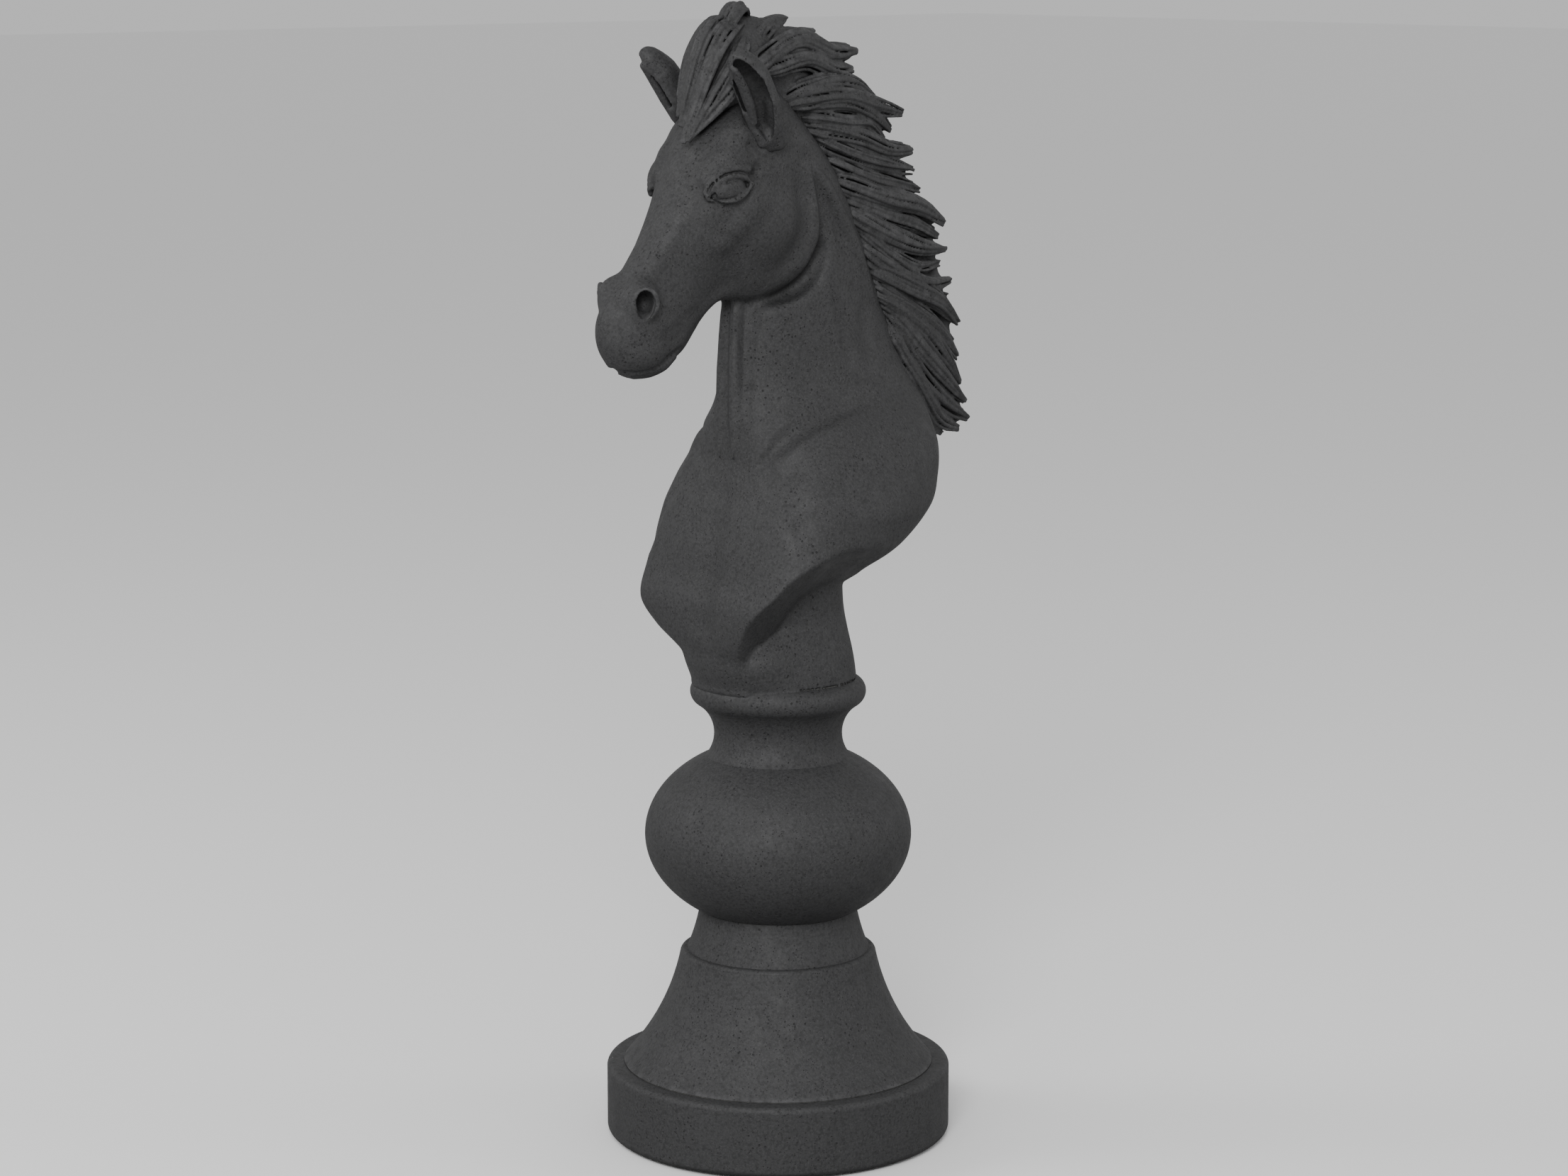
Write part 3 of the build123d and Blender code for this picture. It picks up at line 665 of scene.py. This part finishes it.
def make_mane():
    clay = Clay((-48, -124, 608), (48, 252, 1021), HAIR_FINE)
    chance = np.random.default_rng(7)
    # the solid heart of the mane, thick at the neck and thin towards the tips
    for root, tip, bow, bow_late, half in LOCKS:
        line = lock_line(root, tip, bow, bow_late)[:15]
        line[:, 0] *= 0.5
        clay.add(rope(line, (half + 4, half + 4, half + 1, half * 0.8, half * 0.6)), 6.0)
    # the top of the head under the crown, and the ridge along it
    clay.add(ball((0, -44, 975), (27, 36, 26)), 6.0)
    top = [(0, -54, 1000), (2, -30, 996), (3, -5, 988), (3, 20, 978), (3, 45, 968)]
    clay.add(rope(top, (9, 9, 9, 9, 8)), 6.0)
    # the thin outer fin that the tips lie on, and the filling between it and the neck
    fin = [(2, 45, 960), (2, 68, 944), (2, 92, 920), (2, 112, 892), (2, 138, 860), (2, 154, 836)]
    fin += [(2, 172, 806), (2, 179, 781), (2, 189, 750), (2, 199, 712), (2, 206, 680), (2, 210, 660)]
    fin += [(2, 212, 640)]
    clay.add(rope(curve(fin, 26), 10.0, (1, 0, 0), 0.75), 5.0)
    clay.ridge([(0, 50, 935), (0, 90, 890), (0, 140, 820), (0, 160, 786), (0, 172, 740)], 10.0, 5.0)
    clay.add(ball((0, -5, 955), (26, 50, 28)), 8.0)
    # the forelock's filling
    clay.add(rope([(0, -68, 982), (2, -84, 960), (2, -96, 935), (2, -102, 915)], (21, 20, 14, 7)), 6.0)
    clay.add(rope([(0, -50, 972), (0, -62, 948), (0, -77, 924)], (24, 24, 19)), 6.0)
    # the dark hollow under the first big lock, behind each ear
    for side in (1, -1):
        clay.cut(rope([(31 * side, -6, 936), (31 * side, 16, 931), (27 * side, 44, 932)], (8, 9, 5)), 4.0)
    # the locks on both sides, those along the rear edge, and those on top of the head
    for side in (1, -1):
        for k, (root, tip, bow, bow_late, half) in enumerate(LOCKS):
            shift = 0.0 if side > 0 else chance.uniform(-4, 4)
            line = lock_line(root, (tip[0] + shift, tip[1] - shift), bow - shift, bow_late + shift)
            line[:, 0] = (line[:, 0] + (1.5 if k % 2 else -1.0)) * side
            comb(clay, line, half, np.array((side, 0.0, 0.0)), chance, 8)
    for root, tip, bow, bow_late, half in LOCKS[::2]:
        line = lock_line(root, (tip[0] - 3, tip[1] + 6), bow, bow_late)[6:]
        line[:, 0] = chance.uniform(-2, 3)
        comb(clay, line, 7.0, np.array((0.0, 0.5, 0.86)), chance, 4)
    for root, first, second, tip, half in CROWN:
        line = curve([root, first, second, tip], 14)
        out = line.mean(0) - np.array((0, -50, 950))
        comb(clay, line, half, out / np.linalg.norm(out), chance, 7)
    return clay.piece("mane_casting")


# ---------------------------------------------------------------- materials
PALE_CHIP = (0.32, 0.31, 0.30)


def surface(
    name, colour, rough, metallic=0.0, grain=1.6, depth=0.35,
    pores=0.0, chips=0.0, wear=0.25, painted_shade=0.5, recess=14,
):
    """A procedural material. grain is the size of its grains and depth their relief, in mm; pores
    and chips say how common pin-holes and pale chips are, wear how far edges lighten, and
    painted_shade how strongly recesses about recess mm wide are darkened with painted shade."""
    material = bpy.data.materials.new(name)
    material.use_nodes = True
    tree = material.node_tree
    link = tree.links.new
    shader = tree.nodes["Principled BSDF"]
    place = tree.nodes.new("ShaderNodeTexCoord").outputs["Object"]

    def noise(size, detail=3.0, rough_detail=0.55):
        node = tree.nodes.new("ShaderNodeTexNoise")
        link(place, node.inputs["Vector"])
        node.inputs["Scale"].default_value = 1.0 / (size * MM)
        node.inputs["Detail"].default_value = detail
        node.inputs["Roughness"].default_value = rough_detail
        return node.outputs["Fac"]

    def cells(size):
        node = tree.nodes.new("ShaderNodeTexVoronoi")
        link(place, node.inputs["Vector"])
        node.inputs["Scale"].default_value = 1.0 / (size * MM)
        return node.outputs["Distance"]

    def ramp(value, low, high, start=0.0, end=1.0):
        node = tree.nodes.new("ShaderNodeMapRange")
        link(value, node.inputs["Value"])
        for key, number in (("From Min", low), ("From Max", high), ("To Min", start), ("To Max", end)):
            node.inputs[key].default_value = number
        return node.outputs["Result"]

    def maths(kind, a, b):
        node = tree.nodes.new("ShaderNodeMath")
        node.operation = kind
        for socket, value in zip(node.inputs, (a, b)):
            if isinstance(value, (int, float)):
                socket.default_value = value
            else:
                link(value, socket)
        return node.outputs[0]

    def shade(under, over, share):
        node = tree.nodes.new("ShaderNodeMix")
        node.data_type = "RGBA"
        link(share, node.inputs["Factor"])
        for socket, value in zip((node.inputs[6], node.inputs[7]), (under, over)):
            if isinstance(value, tuple):
                socket.default_value = (*value, 1.0)
            else:
                link(value, socket)
        return node.outputs[2]

    def nearness(distance, inside):
        node = tree.nodes.new("ShaderNodeAmbientOcclusion")
        node.samples = 4
        node.inside = inside
        node.inputs["Distance"].default_value = distance * MM
        return node.outputs["AO"]

    dark = tuple(0.72 * c for c in colour)
    light = tuple(1.45 * c for c in colour)
    worn = tuple(min(2.6 * c + 0.01, 0.9) for c in colour)
    tone = shade(dark, light, ramp(noise(70, 5.0, 0.6), 0.25, 0.75, 0.22, 0.68))
    tone = shade(tone, light, ramp(noise(grain, 2.0), 0.48, 0.68))
    tone = shade(tone, dark, ramp(noise(grain * 1.7, 2.0), 0.48, 0.66))
    # painted shade: recesses found by the outer ambient occlusion are darkened towards a third of the
    # colour, standing in for the shade that falls in them
    painted_recess_shade = maths("MULTIPLY", ramp(nearness(recess, False), 0.78, 0.3), painted_shade)
    tone = shade(tone, tuple(0.35 * c for c in colour), painted_recess_shade)
    edge = maths("MULTIPLY", ramp(nearness(5, True), 0.62, 0.36), ramp(noise(9, 4.0), 0.4, 0.65))
    tone = shade(tone, worn, maths("MULTIPLY", edge, wear))
    relief = maths("MULTIPLY", noise(grain, 4.0, 0.7), depth)
    relief = maths("ADD", relief, maths("MULTIPLY", noise(11, 3.0), 0.5 * depth))
    if pores:
        here = ramp(noise(42, 2.0), 0.62 - 0.3 * pores, 0.72 - 0.3 * pores)
        big = maths("MULTIPLY", ramp(cells(5.2), 0.20, 0.11), here)
        small = ramp(cells(2.9), 0.20, 0.10)
        pits = maths("MAXIMUM", big, maths("MULTIPLY", small, ramp(noise(17, 2.0), 0.42, 0.6)))
        relief = maths("SUBTRACT", relief, maths("MULTIPLY", pits, 0.8))
        # the pin-holes are also darkened in colour: painted shade inside them
        tone = shade(tone, tuple(0.2 * c for c in colour), maths("MULTIPLY", pits, 0.8))
    if chips:
        spots = ramp(cells(33), 0.042, 0.03)
        spots = maths("MULTIPLY", spots, ramp(noise(75, 1.0), 0.63 - chips, 0.64 - chips))
        tone = shade(tone, PALE_CHIP, spots)
    link(tone, shader.inputs["Base Color"])
    link(ramp(noise(13, 4.0), 0.3, 0.7, rough - 0.09, min(rough + 0.09, 1.0)), shader.inputs["Roughness"])
    shader.inputs["Metallic"].default_value = metallic
    shader.inputs["Specular IOR Level"].default_value = 0.35
    bump = tree.nodes.new("ShaderNodeBump")
    bump.inputs["Distance"].default_value = MM
    bump.inputs["Strength"].default_value = 0.8
    link(relief, bump.inputs["Height"])
    link(bump.outputs["Normal"], shader.inputs["Normal"])
    return material


CHARCOAL = (0.0285, 0.0285, 0.0293)
# both castings get painted shade in their recesses, the mane's narrower hair grooves the strongest
STONE = surface("charcoal_cast_stone", CHARCOAL, 0.66, pores=0.5, chips=0.02, wear=0.45, painted_shade=0.85)
HAIR = surface("charcoal_cast_hair", CHARCOAL, 0.66, pores=0.3, wear=0.55, painted_shade=1.0, recess=7)
FINISHES = {
    "mortar": surface("grey_bed_mortar", (0.050, 0.050, 0.048), 0.9, grain=2.2, depth=0.5, pores=0.3),
    "steel": surface("zinc_plated_steel", (0.42, 0.43, 0.45), 0.38, 0.9, grain=0.8, depth=0.05, wear=0.1),
    "black_nylon": surface("black_nylon", (0.018, 0.018, 0.019), 0.5, grain=0.7, depth=0.08, wear=0.15),
    "pad_rubber": surface("pad_rubber", (0.022, 0.021, 0.020), 0.85, grain=1.0, depth=0.1, wear=0.1),
    "ballast_sand": surface("ballast_sand", (0.30, 0.24, 0.16), 0.95, grain=1.1, depth=0.6, wear=0.0),
}
MADE_OF = {
    "mortar": ("skirt_bed", "cone_bed", "urn_bed", "bust_bed"),
    "steel": (
        "tie_rod", "anchor_plate", "anchor_washer", "anchor_nut", "clamp_plate", "clamp_washer",
        "clamp_nut", "neck_armature", "mane_dowels", "ear_pins", "base_screws",
    ),
    "black_nylon": ("base_plate", "filler_bush", "filler_plug", "screw_anchors"),
    "pad_rubber": ("foot_pads", "plug_seal"),
    "ballast_sand": ("ballast_fill",),
}


def use(thing, material):
    """Makes a material the only one of an object."""
    thing.data.materials.clear()
    thing.data.materials.append(material)


for name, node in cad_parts.items():
    use(node, next((FINISHES[slot] for slot, names in MADE_OF.items() if name in names), STONE))

for piece, node in (
    (make_bust(), "horse_bust"),
    (make_mane(), "mane"),
    (make_ear(1, "near_ear_casting"), "left_ear"),
    (make_ear(-1, "far_ear_casting"), "right_ear"),
):
    use(piece, HAIR if node == "mane" else STONE)
    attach(piece, "root")
    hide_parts(node)


# ---------------------------------------------------------------- floor, light and camera
FLOOR_REACH = 30.0
LIGHTS = (  # name, place, target, size and power
    ("key", (-2.3, -2.6, 2.6), (0, 0, 0.6), 1.6, 42),
    ("front", (2.5, -2.9, 2.6), (0, 0, 0.6), 1.8, 140),
    ("low", (1.0, -3.3, 0.7), (0, 0, 0.3), 1.2, 14),
    ("rim", (2.6, 2.6, 1.6), (0, 0, 0.5), 1.4, 25),
)
SKY_STRENGTH = 0.62
# the photograph's viewpoint: degrees from the horse's front, distance from the axis and height
CAMERA_AZIMUTH, CAMERA_DISTANCE, CAMERA_HEIGHT = 48.0, 3.364, 1.087
CAMERA_TARGET = (0, 0, 0.5)
LENS, SENSOR, SHIFT = 87.9, 36.0, 0.0038


def make_floor():
    mesh = bpy.data.meshes.new("floor")
    r = FLOOR_REACH
    mesh.from_pydata([(-r, -r, 0), (r, -r, 0), (r, r, 0), (-r, r, 0)], [], [(0, 1, 2, 3)])
    floor = bpy.data.objects.new("floor", mesh)
    bpy.context.scene.collection.objects.link(floor)
    material = bpy.data.materials.new("pale_floor")
    material.use_nodes = True
    nodes, link = material.node_tree.nodes, material.node_tree.links.new
    shader = nodes["Principled BSDF"]
    shader.inputs["Roughness"].default_value = 0.9
    shader.inputs["Specular IOR Level"].default_value = 0.1
    # pale to the eye, but it throws less light up under the piece; clear when seen from below
    path, tint = nodes.new("ShaderNodeLightPath"), nodes.new("ShaderNodeMix")
    tint.data_type = "RGBA"
    tint.inputs[6].default_value = (0.42, 0.42, 0.42, 1)
    tint.inputs[7].default_value = (0.92, 0.92, 0.92, 1)
    link(path.outputs["Is Camera Ray"], tint.inputs["Factor"])
    link(tint.outputs[2], shader.inputs["Base Color"])
    clear, both = nodes.new("ShaderNodeBsdfTransparent"), nodes.new("ShaderNodeMixShader")
    link(nodes.new("ShaderNodeNewGeometry").outputs["Backfacing"], both.inputs[0])
    link(shader.outputs[0], both.inputs[1])
    link(clear.outputs[0], both.inputs[2])
    link(both.outputs[0], nodes["Material Output"].inputs["Surface"])
    use(floor, material)


def aim(thing, target):
    """Turns a lamp or camera towards a point."""
    thing.rotation_euler = (Vector(target) - thing.location).to_track_quat("-Z", "Y").to_euler()


def area_light(name, place, target, size, power):
    light = bpy.data.lights.new(name, "AREA")
    light.shape = "DISK"
    light.size = size
    light.energy = power
    lamp = bpy.data.objects.new(name, light)
    lamp.location = place
    bpy.context.scene.collection.objects.link(lamp)
    aim(lamp, target)


def make_sky():
    world = bpy.data.worlds.new("studio")
    bpy.context.scene.world = world
    world.use_nodes = True
    sky = world.node_tree.nodes["Background"]
    sky.inputs["Color"].default_value = (1, 1, 1, 1)
    sky.inputs["Strength"].default_value = SKY_STRENGTH


def make_camera():
    azimuth = radians(CAMERA_AZIMUTH)
    data = bpy.data.cameras.new("camera")
    data.sensor_width = SENSOR
    data.lens = LENS
    data.shift_x = SHIFT
    camera = bpy.data.objects.new("camera", data)
    camera.location = (CAMERA_DISTANCE * sin(azimuth), -CAMERA_DISTANCE * cos(azimuth), CAMERA_HEIGHT)
    bpy.context.scene.collection.objects.link(camera)
    aim(camera, CAMERA_TARGET)
    bpy.context.scene.camera = camera


make_floor()
for light in LIGHTS:
    area_light(*light)
make_sky()
make_camera()
